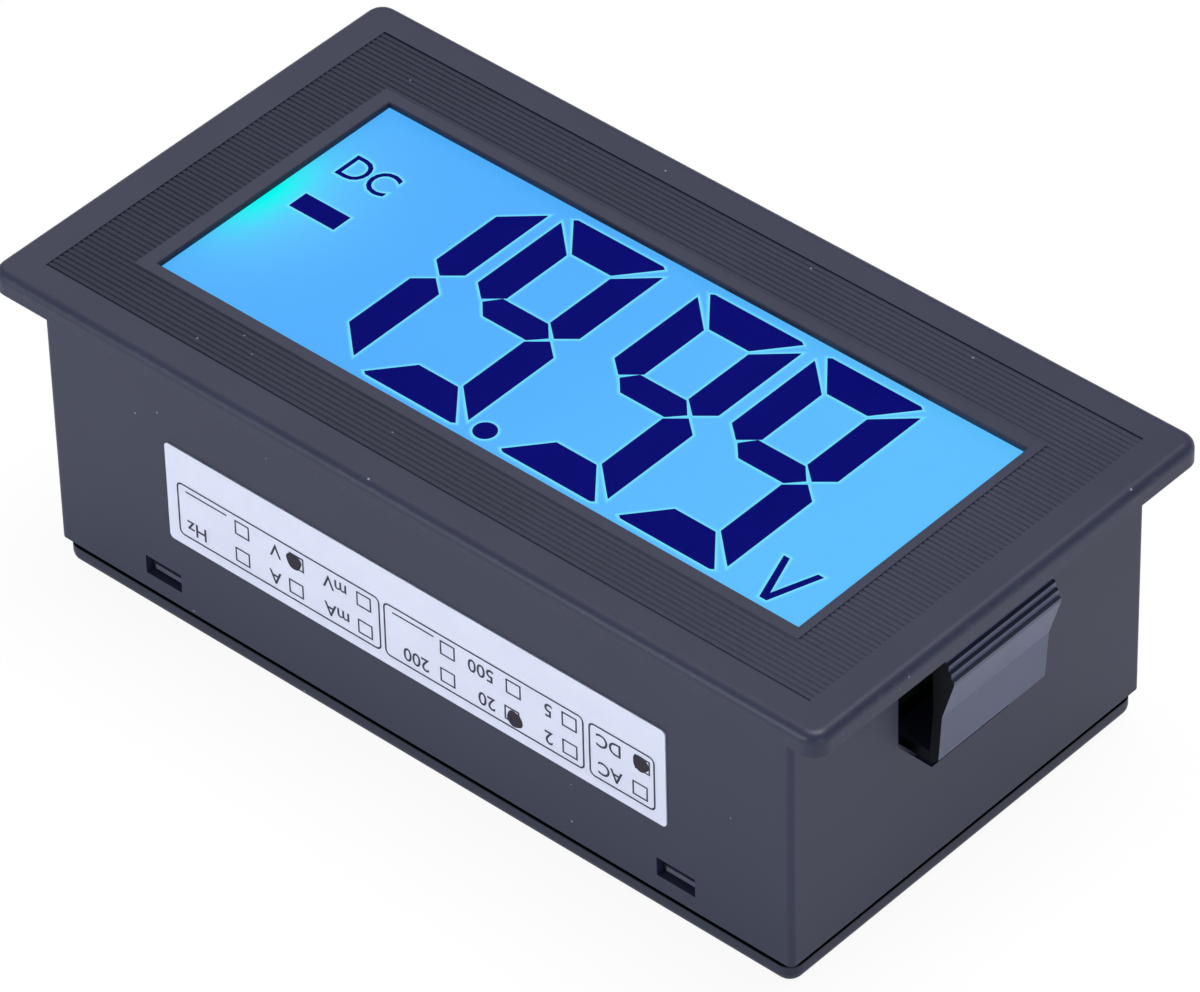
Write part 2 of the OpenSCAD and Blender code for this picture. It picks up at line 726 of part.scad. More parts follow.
module converter_chip() color([0.12, 0.12, 0.13]) {
    chip_z = board_front + chip_standoff;
    leg_z = chip_z + (chip_t + chip_leg_t) / 2;
    difference() {
        translate([0, 0, chip_z]) plate(chip_w, chip_h, chip_t);
        translate([-chip_w / 2, 0, chip_z + chip_t - chip_dimple_depth])
            cylinder(h = over, r = chip_dimple_r);
    }
    for (i = [0:chip_leg_count - 1], y = SIDES)
        translate([(i - (chip_leg_count - 1) / 2) * chip_leg_pitch, 0, 0]) rotate([90, 0, y * 90])
            linear_extrude(chip_leg_w, center = true) {
                translate([(chip_row - chip_leg_t) / 2, board_front])
                    square([chip_leg_t, leg_z - board_front]);
                translate([chip_h / 2 - fuse, leg_z - chip_leg_t])
                    square([(chip_row + chip_leg_t - chip_h) / 2 + fuse, chip_leg_t]);
            }
}

module film_capacitor(i) color([0.75, 0.2, 0.12])
    translate([(i - 1) * film_cap_pitch, film_cap_y, board_z - film_cap[2]])
        plate(film_cap[0], film_cap[1], film_cap[2], 0.8);

module can_capacitor(i) color([0.15, 0.2, 0.45])
    translate([i * can_pitch - can_pitch / 2, can_y, board_z - can_h]) {
        translate([0, 0, can_ease]) cylinder(h = can_h - can_ease, r = can_r);
        cylinder(h = can_ease + fuse, r1 = can_r - can_ease, r2 = can_r);
    }

module resistors() color([0.45, 0.65, 0.75])
    for (i = [0:resistor_count - 1])
        translate([(i - (resistor_count - 1) / 2) * (resistor_len + resistor_gap), resistor_y,
                   board_front + resistor_r]) {
            rotate([0, 90, 0]) cylinder(h = resistor_len, r = resistor_r, center = true);
            rotate([0, 90, 0])
                cylinder(h = resistor_len + 2 * resistor_shoulder, r = resistor_wire_r, center = true,
                         $fn = small_round);
            for (x = SIDES) translate([x * (resistor_len / 2 + resistor_shoulder), 0, -resistor_r])
                cylinder(h = resistor_r + resistor_wire_r, r = resistor_wire_r, $fn = small_round);
        }

module voltage_regulator() color([0.13, 0.13, 0.14])
    translate([regulator_x, regulator_y, board_z - regulator_h - regulator_lead]) {
        intersection() {
            cylinder(h = regulator_h, r = regulator_r);
            translate([-regulator_r, -regulator_flat, 0])
                cube([2 * regulator_r, regulator_flat + regulator_r, regulator_h]);
        }
        for (x = [-1:1]) translate([x * regulator_lead_pitch, 0, regulator_h])
            plate(regulator_lead_t, regulator_lead_t, regulator_lead);
    }

module trimmer_body() color([0.15, 0.35, 0.7]) difference() {
    translate([trimmer_x, trimmer_y, board_z - trimmer[2]]) plate(trimmer[0], trimmer[1], trimmer[2]);
    translate([trimmer_screw_x, trimmer_y, board_z - trimmer[2] - over])
        cylinder(h = trimmer_bore + over, r = trimmer_screw_r + trimmer_play);
}

module trimmer_screw() color([0.85, 0.68, 0.3]) translate([trimmer_screw_x, trimmer_y, board_z - trimmer[2]])
    difference() {
        translate([0, 0, -trimmer_head])
            cylinder(h = trimmer_head + trimmer_bore - trimmer_play, r = trimmer_screw_r);
        translate([0, 0, -trimmer_head - over])
            plate(2 * (trimmer_screw_r + over), trimmer_slot, over + trimmer_slot);
    }

// ---- terminals ----

function terminal_x(i) = (i - (terminal_count - 1) / 2) * terminal_pitch;

module terminal_block() color([0.1, 0.1, 0.11]) difference() {
    translate([0, terminal_y, terminal_rear]) plate(terminal_w, terminal_h, board_z - terminal_rear);
    for (i = [0:terminal_count - 1]) {
        translate([terminal_x(i), terminal_y, terminal_rear - over])
            plate(well_w, well_h, well_depth + over);
        // Seat for the contact plate, bore for the screw's end and passage for the plate's tail
        translate([terminal_x(i), terminal_y, well_z - over]) plate(well_w, well_h, plate_t + over);
        translate([terminal_x(i), screw_y, well_z])
            cylinder(h = screw_len + screw_end_play, r = screw_r + screw_play);
        translate([terminal_x(i), tail_y, well_z])
            plate(tail_w + 2 * tail_play, tail_w + 2 * tail_play, board_z - well_z + over);
    }
}

// Contact plate with the screw's hole, and the tail that is soldered into the board
module terminal_plate(i) color([0.8, 0.8, 0.78]) translate([terminal_x(i), 0, well_z]) {
    difference() {
        translate([0, terminal_y, 0]) plate(well_w - 2 * plate_play, well_h - 2 * plate_play, plate_t);
        translate([0, screw_y, -over]) cylinder(h = plate_t + 2 * over, r = screw_r + screw_play);
    }
    translate([0, tail_y, 0]) plate(tail_w, tail_w, board_front + tail_end - well_z);
}

// Slotted screw with its captive square clamping washer
module terminal_screw(i) color([0.82, 0.82, 0.8])
    translate([terminal_x(i), screw_y, well_z - seat_gap]) {
        difference() {
            union() {
                translate([0, 0, -clamp_t - head_t]) cylinder(h = head_t + 0.1, r = head_r);
                translate([0, 0, -clamp_t]) plate(clamp, clamp, clamp_t);
                cylinder(h = screw_len, r = screw_r);
            }
            translate([-head_r - over, -slot_t / 2, -clamp_t - head_t - over])
                cube([2 * (head_r + over), slot_t, over + slot_depth]);
        }
    }

front_housing();
rear_cover();
mirror([1, 0, 0]) snap_clip();  // snap_clip_left
snap_clip();  // snap_clip_right
range_label();
front_polarizer();
front_glass();
cell_seal();
lcd_segments();
rear_glass();
rear_polarizer();
diffuser_sheet();
light_guide();
backlight_tray();
backlight_led();
led_board();
contact_pins();  // lcd_pins_upper
mirror([0, 1, 0]) contact_pins();  // lcd_pins_lower
main_board();
converter_chip();
for (i = [1:3]) film_capacitor(i - 1);
for (i = [1:2]) can_capacitor(i - 1);
resistors();
voltage_regulator();
trimmer_body();
trimmer_screw();
terminal_block();
for (i = [1:4]) terminal_plate(i - 1);
for (i = [1:4]) terminal_screw(i - 1);
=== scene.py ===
# A panel-mounting digital meter with a backlit display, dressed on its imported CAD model.
# All lengths are in metres, in the CAD model's own frame.

import math

import bmesh
import bpy
from mathutils import Euler, Matrix, Vector


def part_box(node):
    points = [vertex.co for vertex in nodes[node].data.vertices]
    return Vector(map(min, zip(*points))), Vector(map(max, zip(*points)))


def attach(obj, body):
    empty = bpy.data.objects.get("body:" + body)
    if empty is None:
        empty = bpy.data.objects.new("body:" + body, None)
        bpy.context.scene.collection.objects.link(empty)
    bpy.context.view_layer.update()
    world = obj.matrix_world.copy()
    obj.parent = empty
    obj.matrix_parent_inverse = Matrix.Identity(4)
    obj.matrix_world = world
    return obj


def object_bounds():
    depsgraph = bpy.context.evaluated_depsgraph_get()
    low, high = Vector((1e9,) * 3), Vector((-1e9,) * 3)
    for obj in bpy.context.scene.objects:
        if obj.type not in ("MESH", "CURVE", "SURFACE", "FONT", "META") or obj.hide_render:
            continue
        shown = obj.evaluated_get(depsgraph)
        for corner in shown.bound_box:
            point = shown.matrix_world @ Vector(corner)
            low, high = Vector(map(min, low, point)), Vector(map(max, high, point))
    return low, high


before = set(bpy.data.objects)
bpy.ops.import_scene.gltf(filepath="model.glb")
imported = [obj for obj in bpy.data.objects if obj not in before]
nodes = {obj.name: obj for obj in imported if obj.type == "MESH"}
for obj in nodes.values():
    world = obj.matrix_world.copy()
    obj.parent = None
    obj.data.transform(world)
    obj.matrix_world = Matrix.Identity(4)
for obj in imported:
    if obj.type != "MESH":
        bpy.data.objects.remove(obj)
cad_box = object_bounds()
mm = 0.001

# ---- Camera ----
# A long lens looks down on the display from the lower right. The meter fills the frame from
# corner to corner, turned a little against the horizon.

front_z = cad_box[1][2]
camera_aim = Vector((5.098, -4.552, -7.902)) * mm + Vector((0, 0, front_z))
camera_distance = 0.5954
camera_yaw = math.radians(42.606)
camera_elevation = math.radians(40.72)
camera_roll = math.radians(-1.495)

camera_turn = (Euler((math.pi / 2 - camera_elevation, 0, camera_yaw)).to_matrix()
               @ Matrix.Rotation(camera_roll, 3, "Z"))
lens = bpy.data.cameras.new("camera")
lens.lens = 250
lens.sensor_width = 36
lens.clip_end = 20
camera = bpy.data.objects.new("camera", lens)
camera.matrix_world = Matrix.LocRotScale(
    camera_aim + camera_turn @ Vector((0, 0, camera_distance)), camera_turn, None)
bpy.context.collection.objects.link(camera)
bpy.context.scene.camera = camera
bpy.context.scene.view_settings.view_transform = "Standard"

# ---- Floor and light ----
# The meter lies on its back on a white sweep. A large soft lamp hangs over it and small ones stand
# low in front and high behind. The room between them is dim, so that rounded edges read dark.


class Wire:
    """A socket in a material's node tree. Arithmetic on it adds the Math nodes."""

    def __init__(self, tree, socket=None):
        self.tree = tree
        self.socket = socket

    def node(self, kind, settings=None, inputs=None, out=0):
        """Adds a node, sets it up, fills or links its sockets and gives one of its outputs."""
        made = self.tree.nodes.new(kind)
        for name, value in (settings or {}).items():
            if name == "stops":
                stops = made.color_ramp.elements
                while len(stops) < len(value):
                    stops.new(1)
                for stop, (place, colour) in zip(stops, value):
                    stop.position = place
                    stop.color = (*colour, 1)
            else:
                setattr(made, name, value)
        for name, value in (inputs or {}).items():
            socket = made.inputs[name]
            if isinstance(value, Wire):
                self.tree.links.new(value.socket, socket)
            elif socket.type == "RGBA" and len(value) == 3:
                socket.default_value = (*value, 1)
            else:
                socket.default_value = value
        return Wire(self.tree, made.outputs[out] if made.outputs else None)

    def math(self, operation, *terms):
        return self.node("ShaderNodeMath", {"operation": operation}, dict(enumerate(terms)))

    def __add__(self, other):
        return self.math("ADD", self, other)

    __radd__ = __add__

    def __sub__(self, other):
        return self.math("SUBTRACT", self, other)

    def __rsub__(self, other):
        return self.math("SUBTRACT", other, self)

    def __mul__(self, other):
        return self.math("MULTIPLY", self, other)

    __rmul__ = __mul__

    def __truediv__(self, other):
        return self.math("DIVIDE", self, other)

    def __rtruediv__(self, other):
        return self.math("DIVIDE", other, self)

    def __pow__(self, power):
        return self.math("POWER", self, power)

    def __gt__(self, other):
        return self.math("GREATER_THAN", self, other)

    def __lt__(self, other):
        return self.math("LESS_THAN", self, other)

    def __abs__(self):
        return self.math("ABSOLUTE", self)

    def blend(self, low, high):
        """The colour that lies this far from low to high."""
        return self.node("ShaderNodeMix", {"data_type": "RGBA"}, {0: self, 6: low, 7: high}, out=2)

    def bump(self, height, strength):
        return self.node("ShaderNodeBump", {}, {"Height": self, "Distance": height,
                                                "Strength": strength})


def srgb(red, green, blue):
    """A colour given as 0 to 255 on screen, as the renderer counts it."""
    return tuple((c / 255 / 12.92) if c <= 10 else ((c / 255 + 0.055) / 1.055) ** 2.4
                 for c in (red, green, blue))


def open_material(name):
    """A new empty material, and a loose wire in its node tree."""
    material = bpy.data.materials.new(name)
    material.use_nodes = True
    material.node_tree.nodes.clear()
    return material, Wire(material.node_tree)


def shade(wire, looks, painted_shade=None):
    """Puts the main shader with these looks on a material's output. Painted shade covers it where
    given.
    """
    shader = wire.node("ShaderNodeBsdfPrincipled", {}, looks)
    if painted_shade:
        shade_black = wire.node("ShaderNodeBsdfDiffuse", {}, {"Color": (0.002, 0.002, 0.003)})
        shader = wire.node("ShaderNodeMixShader", {}, {0: painted_shade, 1: shader, 2: shade_black})
    wire.node("ShaderNodeOutputMaterial", {}, {"Surface": shader})


def mesh_object(name, build):
    """A mesh piece filled in by build(bmesh), at the frame's origin."""
    shape = bmesh.new()
    build(shape)
    mesh = bpy.data.meshes.new(name)
    shape.to_mesh(mesh)
    shape.free()
    made = bpy.data.objects.new(name, mesh)
    bpy.context.collection.objects.link(made)
    return made


floor_half = 3.0
floor_z = cad_box[0][2] - 0.0002
floor = mesh_object("floor", lambda shape: bmesh.ops.create_grid(
    shape, x_segments=2, y_segments=2, size=floor_half, matrix=Matrix.Translation((0, 0, floor_z))))
floor_material, wire = open_material("floor_white")
paper = wire.node("ShaderNodeBsdfDiffuse", {}, {"Color": (0.86, 0.86, 0.87)})
seen, glossy, through = (wire.node("ShaderNodeLightPath", out=i) for i in (0, 3, 6))
mirrored = wire.math("MAXIMUM", glossy, through)
glow = wire.node("ShaderNodeEmission", {}, {"Color": mirrored.blend((1, 1, 1), (0.84, 0.89, 1)),
                                            "Strength": 1})
whitened = wire.node("ShaderNodeMixShader", {}, {
    0: wire.math("MAXIMUM", seen * 0.93, mirrored * 0.6), 1: paper, 2: glow})
wire.node("ShaderNodeOutputMaterial", {}, {"Surface": whitened})
floor.data.materials.append(floor_material)

room = bpy.data.worlds.new("room")
room.use_nodes = True
room.node_tree.nodes.clear()
wire = Wire(room.node_tree)
bright_side = (-0.51, 0.56, 0.65)
behind = wire.node("ShaderNodeVectorMath", {"operation": "DOT_PRODUCT"},
                   {0: wire.node("ShaderNodeTexCoord"), 1: bright_side}, out=1)
air = wire.node("ShaderNodeBackground", {}, {
    "Color": (behind * 0.75 + 0.5).blend((0.17, 0.17, 0.18), (0.34, 0.34, 0.35)), "Strength": 1})
wire.node("ShaderNodeOutputWorld", {}, {"Surface": air})
bpy.context.scene.world = room


def lamp(name, place, size, watts, tint=(1, 1, 1)):
    """A square soft lamp that faces the meter."""
    light = bpy.data.lights.new(name, "AREA")
    light.size = size
    light.energy = watts
    light.color = tint
    made = bpy.data.objects.new(name, light)
    made.location = place
    made.rotation_euler = Vector(place).to_track_quat("Z", "Y").to_euler()
    bpy.context.collection.objects.link(made)


lamp("lamp_above", (0.1, 0.3, 1.6), 0.9, 25)
lamp("lamp_front", (-0.25, -0.8, 0.2), 0.35, 3.3, (0.86, 0.91, 1))
lamp("lamp_right", (0.8, -0.25, 0.12), 0.3, 1.5, (0.66, 0.8, 1))
lamp("lamp_back", (-0.9, 0.5, 0.9), 0.8, 1.8)

# ---- Front housing ----
# The case and its bezel are one moulding in near-black ABS with a violet cast. The mould leaves
# a fine matt grain, flow clouds and a paler rub along the rim, and dust clings to it.

case_black = srgb(46, 49, 69)
case_dark = srgb(35, 38, 55)
case_rubbed = srgb(76, 78, 94)
dust_white = srgb(150, 152, 165)
dust_spacing = 2.2 * mm
dust_radius = 0.042                 # of a speck, as a share of the spacing
dust_rarity = 0.72                  # share of the spots that stay clean
grain_size = 0.22 * mm
groove_top, groove_floor = 0.04 * mm, 0.45 * mm
seam_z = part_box("front_housing")[0][2]


def place_on(wire):
    return wire.node("ShaderNodeTexCoord", out=3)


def clouds(wire, size, detail=2.0):
    """Soft noise whose features are this large, from 0 to 1."""
    return wire.node("ShaderNodeTexNoise", {}, {"Vector": place_on(wire), "Scale": 1 / size,
                                                "Detail": detail})


def axis(wire, number):
    """One coordinate of the point on the piece."""
    return wire.node("ShaderNodeSeparateXYZ", {}, {"Vector": place_on(wire)}, out=number)


def moulded(name, colour, dark, wear_and_highlight_colour, gloss=0.42, wear_and_highlight=None, painted_shade_mask=None):
    """Moulded plastic: flow clouds, matt grain and dust. The two functions give from the wire
    where rubbed wear and painted highlights pale the plastic, and where painted shade lies."""
    material, wire = open_material(name)
    flow = clouds(wire, 9 * mm)
    fine = clouds(wire, grain_size, 4)
    cells = {"Vector": place_on(wire), "Scale": 1 / dust_spacing}
    near = wire.node("ShaderNodeTexVoronoi", {}, cells) < dust_radius
    picked = wire.node("ShaderNodeSeparateColor", {}, {
        "Color": wire.node("ShaderNodeTexVoronoi", {}, cells, out=1)}) > dust_rarity
    tone = (flow * 0.8 + fine * 0.3).blend(dark, colour)
    if wear_and_highlight:
        tone = wear_and_highlight(wire).blend(tone, wear_and_highlight_colour)
    tone = (near * picked * 0.7).blend(tone, dust_white)
    shade(wire, {"Base Color": tone, "Roughness": flow * 0.08 + fine * 0.1 + (gloss - 0.09),
                 "Specular IOR Level": 0.32, "Normal": fine.bump(0.012 * mm, 0.35)},
          painted_shade_mask(wire) if painted_shade_mask else None)
    return material


def dress(material, *names):
    """Puts the material on CAD nodes."""
    for name in names:
        for place in nodes[name].material_slots:
            place.material = material


def past_rim(wire):
    """How far a point lies outside the bezel's front edge, seen from the front."""
    return wire.math("MAXIMUM", abs(axis(wire, 0)) - cad_box[1][0],
                     abs(axis(wire, 1)) - cad_box[1][1])


def rubbed_rim(wire):
    return (past_rim(wire) > -0.25 * mm) * (clouds(wire, 0.6 * mm, 5) > 0.62) * 0.2


def seam_painted_shade(wire):
    """Painted shade along the joint between case and cover, darkest in the middle of its gap."""
    return 1.9 - abs(axis(wire, 2) + 0.12 * mm - seam_z) / (0.17 * mm)


def case_painted_shade(wire):
    """Painted shade in the joint and in the grooves of the ribbed band, heaviest at its lower left.
    """
    deep = front_z - axis(wire, 2)
    groove = (deep > groove_top) * (deep < groove_floor) * (past_rim(wire) < -1.2 * mm)
    lower_left = 0.12 - axis(wire, 0) / (260 * mm) - axis(wire, 1) / (600 * mm)
    return wire.math("MAXIMUM", seam_painted_shade(wire), groove * lower_left)


# Painted shade lies in the case's joint and in the grooves of its ribbed band.
dress(moulded("case_plastic", case_black, case_dark, case_rubbed, wear_and_highlight=rubbed_rim,
              painted_shade_mask=case_painted_shade), "front_housing")

# ---- Rear cover ----
# The cover closes the case from behind with four hooks. It is moulded in the same plastic, from
# a slightly darker batch.

hook_x, hook_y = 25 * mm, 17.7 * mm
hook_z = seam_z + 2.55 * mm
hook_foot_z = seam_z + 1.2 * mm
hook_half = 1.6 * mm


def on_hook(wire):
    """The noses of the hooks, which stand in the slots of the case."""
    return (axis(wire, 2) > hook_foot_z) * (abs(axis(wire, 1)) > hook_y)


# Painted highlight: the hook noses in the slots are paled in patches.
def hook_highlight(wire):
    return on_hook(wire) * (clouds(wire, 0.5 * mm, 3) * 0.5 + 0.35)


def cover_painted_shade(wire):
    """Painted shade in the joint, and round the noses that scrape through the slots."""
    end = abs(abs(axis(wire, 0)) - hook_x) > hook_half - 0.2 * mm
    round_nose = wire.math("MAXIMUM", end, axis(wire, 2) > hook_z - 0.22 * mm)
    return wire.math("MAXIMUM", seam_painted_shade(wire), on_hook(wire) * round_nose * 0.85)


# The hook noses carry a painted highlight, and painted shade lies in the joint and round them.
dress(moulded("cover_plastic", srgb(44, 46, 64), srgb(34, 36, 52), srgb(104, 106, 120), gloss=0.46,
              wear_and_highlight=hook_highlight, painted_shade_mask=cover_painted_shade), "rear_cover")

# ---- Snap clips ----
# Two sprung clips hold the meter in its panel. They are polished a little by the mould, so they
# shine more than the walls, with faint vertical draw marks. Their cut ends are painted near-black
# and a black shader lies over the up-facing faces of their gripping ribs, both as painted shade.

clip_plastic, wire = open_material("clip_plastic")
drawn = wire.node("ShaderNodeMapping", {}, {"Vector": place_on(wire), "Scale": (1, 1, 0.12)})
marks = wire.node("ShaderNodeTexNoise", {}, {"Vector": drawn, "Scale": 1 / (0.5 * mm), "Detail": 3})
sheen = clouds(wire, 5 * mm)
facing_y, facing_z = (wire.node("ShaderNodeSeparateXYZ", {}, {
    "Vector": wire.node("ShaderNodeTexCoord", out=1)}, out=i) for i in (1, 2))
worked = (marks * 0.7 + sheen * 0.5 - 0.1).blend(srgb(56, 60, 86), srgb(80, 84, 112))
# Painted shade: near-black on the cut ends, and black over the up-facing rib faces.
shade(wire, {"Base Color": (abs(facing_y) > 0.8).blend(worked, srgb(8, 8, 11)),
             "Roughness": marks * 0.12 + 0.36, "Specular IOR Level": 0.5,
             "Normal": marks.bump(0.01 * mm, 0.3)}, (facing_z > 0.5) * 0.6)
dress(clip_plastic, "snap_clip_left", "snap_clip_right")

# ---- Lit cell ----
# The glass of the display carries the light of the panel behind it: an even sky blue that pales
# to the right, with a cyan pool where the lamp shines in at the left end.

cell_blue = srgb(80, 175, 253)
cell_pale = srgb(92, 191, 254)
cell_near = srgb(100, 208, 254)
cell_pool = srgb(60, 226, 250)
cell_hot = srgb(0, 252, 243)
lamp_y = -0.75 * mm
cell_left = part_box("rear_polarizer")[0][0] + 0.6 * mm

lit_cell, wire = open_material("lit_cell")
x, y = axis(wire, 0), axis(wire, 1)
across, along = (x - cell_left) / mm, (y - lamp_y) / mm


def pool(width, height):
    """Light round the lamp, 1 at the cell's left end, that fades over these distances in mm."""
    return wire.math("EXPONENT", ((across / width) ** 2 + (along / height) ** 2) * -1)


field = (x / (30 * mm) + clouds(wire, 16 * mm) * 0.9 - 0.1).blend(cell_blue, cell_pale)
field = (pool(7, 8) * 0.75).blend(field, cell_near)
field = pool(2.9, 5.2).blend(field, cell_pool)
field = pool(1.5, 3.6).blend(field, cell_hot)
shade(wire, {"Base Color": srgb(10, 20, 40), "Roughness": 0.5, "Specular IOR Level": 0.1,
             "Emission Color": field, "Emission Strength": 0.97})
dress(lit_cell, "rear_glass", "rear_polarizer")

# ---- Front glass and film ----
# Over the cell lie a clear glass and a satin film. Both are nearly invisible and only catch a
# thin veil of the room.

clear_glass, wire = open_material("clear_glass")
shade(wire, {"Base Color": srgb(60, 90, 120), "Roughness": 0.08,
             "Alpha": clouds(wire, 12 * mm) * 0.002 + 0.001})
dress(clear_glass, "front_glass")
satin_film, wire = open_material("satin_film")
haze = clouds(wire, 0.4 * mm, 3)
shade(wire, {"Base Color": srgb(40, 70, 110), "Roughness": haze * 0.08 + 0.3,
             "Alpha": haze * 0.003 + 0.001, "Normal": haze.bump(0.002 * mm, 0.2)})
dress(satin_film, "front_polarizer")
seal_glue, wire = open_material("seal_glue")
shade(wire, {"Base Color": clouds(wire, 1.2 * mm).blend(srgb(150, 150, 140), srgb(185, 183, 170)),
             "Roughness": 0.5})
dress(seal_glue, "cell_seal")

# ---- Segments ----
# The dark segments are crystal between the two glasses. Light leaks past their edges, so each
# has a thin pale outline.

halo_width = 0.3 * mm
halo_blue = srgb(112, 230, 255)

segment_ink, wire = open_material("segment_ink")
# The segments glow a faint navy: the backlight that passes through them is painted on as emission.
glow_through = clouds(wire, 4 * mm).blend(srgb(3, 4, 106), srgb(7, 9, 118))
shade(wire, {"Base Color": srgb(2, 2, 30), "Roughness": 0.6, "Specular IOR Level": 0.01,
             "Emission Color": glow_through, "Emission Strength": 0.9})
dress(segment_ink, "lcd_segments")


def outlines(mesh):
    """Outlines of a flat mesh's front faces, each a list of points anticlockwise."""
    shape = bmesh.new()
    shape.from_mesh(mesh)
    bmesh.ops.remove_doubles(shape, verts=shape.verts, dist=1e-7)
    front = {face for face in shape.faces if face.normal.z > 0.9}
    after = {}
    for face in front:
        for corner in face.loops:
            if sum(other in front for other in corner.edge.link_faces) == 1:
                after[corner.vert] = corner.link_loop_next.vert
    found = []
    while after:
        point = next(iter(after))
        path = []
        while point in after:
            path.append(point.co.xy.copy())
            point = after.pop(point)
        found.append(path)
    shape.free()
    return found


def beside(path, distance):
    """A closed path moved outwards, with its sharp corners held back."""
    moved = []
    for i, here in enumerate(path):
        into = (here - path[i - 1]).normalized()
        out = (path[(i + 1) % len(path)] - here).normalized()
        first, second = Vector((into.y, -into.x)), Vector((out.y, -out.x))
        mitre = (first + second).normalized()
        moved.append(here + mitre * distance / max(mitre.dot(first), 0.45))
    return moved


def ring(shape, path, inner, outer, lift):
    """A flat band along a closed path. Its second texture coordinate runs from inner to outer."""
    layer = shape.loops.layers.uv.verify()
    rows = [[shape.verts.new((p.x, p.y, lift)) for p in beside(path, d)] for d in (inner, outer)]
    count = len(path)
    for i in range(count):
        j = (i + 1) % count
        face = shape.faces.new((rows[0][i], rows[1][i], rows[1][j], rows[0][j]))
        for corner, v in zip(face.loops, (0, 1, 1, 0)):
            corner[layer].uv = (i / count, v)


halo_light, wire = open_material("halo_light")
outward = wire.node("ShaderNodeSeparateXYZ", {}, {"Vector": wire.node("ShaderNodeTexCoord", out=2)},
                    out=1)
shade(wire, {"Base Color": (0, 0, 0), "Roughness": 0.6, "Emission Color": halo_blue,
             "Emission Strength": 0.97, "Alpha": (1 - outward) ** 0.8 * 0.95})

crystal_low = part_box("lcd_segments")[0][2]
crystal_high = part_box("lcd_segments")[1][2]


def halo(name, mesh):
    made = mesh_object(name, lambda shape: [
        ring(shape, path, 0, halo_width, crystal_low + 0.01 * mm) for path in outlines(mesh)])
    made.data.materials.append(halo_light)
    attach(made, "meter")


halo("segment_halo", nodes["lcd_segments"].data)

# ---- Unit letters on the display ----
# The mode and the unit are fixed crystal shapes like the segments, drawn with thin strokes.


def lettering(words, thin=0.0):
    """The mesh of a line of plain letters with unit capital height, centred on the origin."""
    text = bpy.data.curves.new("letters", "FONT")
    text.body = words
    text.align_x = "CENTER"
    text.align_y = "CENTER"
    text.resolution_u = 4
    text.offset = thin
    holder = bpy.data.objects.new("letters", text)
    mesh = bpy.data.meshes.new_from_object(holder)
    bpy.data.objects.remove(holder)
    bpy.data.curves.remove(text)
    return mesh


def fit(mesh, low, high, lift):
    """Stretches a flat mesh over the box from low to high, at this height."""
    points = [v.co.copy() for v in mesh.vertices]
    least = Vector(min(p[i] for p in points) for i in (0, 1))
    most = Vector(max(p[i] for p in points) for i in (0, 1))
    for v in mesh.vertices:
        v.co = Vector((low[0] + (v.co.x - least.x) / (most.x - least.x) * (high[0] - low[0]),
                       low[1] + (v.co.y - least.y) / (most.y - least.y) * (high[1] - low[1]), lift))


volt_shape = ((0, 1), (0.41, 0), (0.59, 0), (1, 1), (0.85, 1), (0.5, 0.18), (0.15, 1))
volt_mesh = bpy.data.meshes.new("unit_letter")
volt_mesh.from_pydata([(x, y, 0) for x, y in volt_shape], [], [range(len(volt_shape))])
for name, mesh, low, high in (
        ("mode_letters", lettering("DC", 0.006), (-28.68, 4.165), (-24.02, 6.885)),
        ("unit_letter", volt_mesh, (24.44, -11.25), (28.14, -6.85))):
    fit(mesh, [v * mm for v in low], [v * mm for v in high], crystal_high - 0.01 * mm)
    made = bpy.data.objects.new(name, mesh)
    bpy.context.collection.objects.link(made)
    mesh.materials.clear()
    mesh.materials.append(segment_ink)
    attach(made, "meter")
    halo(name + "_halo", mesh)

# ---- Range label ----
# A white film label is stuck on the wall below the display, upside down. Rows of tick boxes for
# the unit and the range are printed in grey, and the meter's own are dotted with a marker.

label_white, wire = open_material("label_white")
mottle = clouds(wire, 3 * mm, 3)
shade(wire, {"Base Color": (mottle * 0.8 + clouds(wire, 0.3 * mm) * 0.2).blend(
    srgb(208, 211, 227), srgb(222, 225, 238)), "Roughness": 0.38,
    "Normal": mottle.bump(0.01 * mm, 0.3)})
dress(label_white, "range_label")

print_line = 0.14 * mm
frame_line = 0.15 * mm
frame_corner = 0.45 * mm
tick_size = (1.3 * mm, 1.2 * mm)
text_high = 1.22 * mm
print_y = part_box("range_label")[0][1] - 0.015 * mm
frames = ((-22.8, -2.9), (-2.4, 16.6), (17.2, 23.25))
frame_z = (9.85, 14.75)
upper_z, lower_z = 13.6, 11.0
upper_ticks = (-16.4, -11.0, -4.4, 3.7, 10.0, 15.3, 22.15)
lower_ticks = (-16.46, -11.14, -4.36, 3.64, 9.8, 15.3, 21.9)
rules = ((-22.0, -17.9), (-1.6, 2.4))
rule_z = 14.2
upper_words = (("V", -13.1), ("mV", -7.2), ("500", 6.9), ("5", 13.3), ("DC", 19.0))
lower_words = (("Hz", -21.0), ("A", -13.2), ("mA", -7.1), ("200", 0.6), ("20", 7.4), ("2", 13.3),
               ("AC", 19.07))
dots = ((-11.25, 13.55), (22.0, 13.6), (10.05, 10.75))
dot_radius = 0.74
dot_corners = 28


def rounded(low, high, corner, steps=5):
    """An anticlockwise rectangle with round corners."""
    path = []
    for i, (x, y) in enumerate(((high[0], low[1]), (high[0], high[1]), (low[0], high[1]),
                                (low[0], low[1]))):
        middle = Vector((x - math.copysign(corner, x - (low[0] + high[0]) / 2),
                         y - math.copysign(corner, y - (low[1] + high[1]) / 2)))
        for step in range(steps + 1 if corner else 1):
            turn = math.radians(-90 + 90 * i + 90 * step / steps)
            path.append(middle + Vector((math.cos(turn), math.sin(turn))) * corner)
    return path


def upright(shape):
    """Turns a flat drawing in X and height to stand on the wall, facing outwards."""
    for v in shape.verts:
        v.co = (v.co.x, print_y, v.co.y)


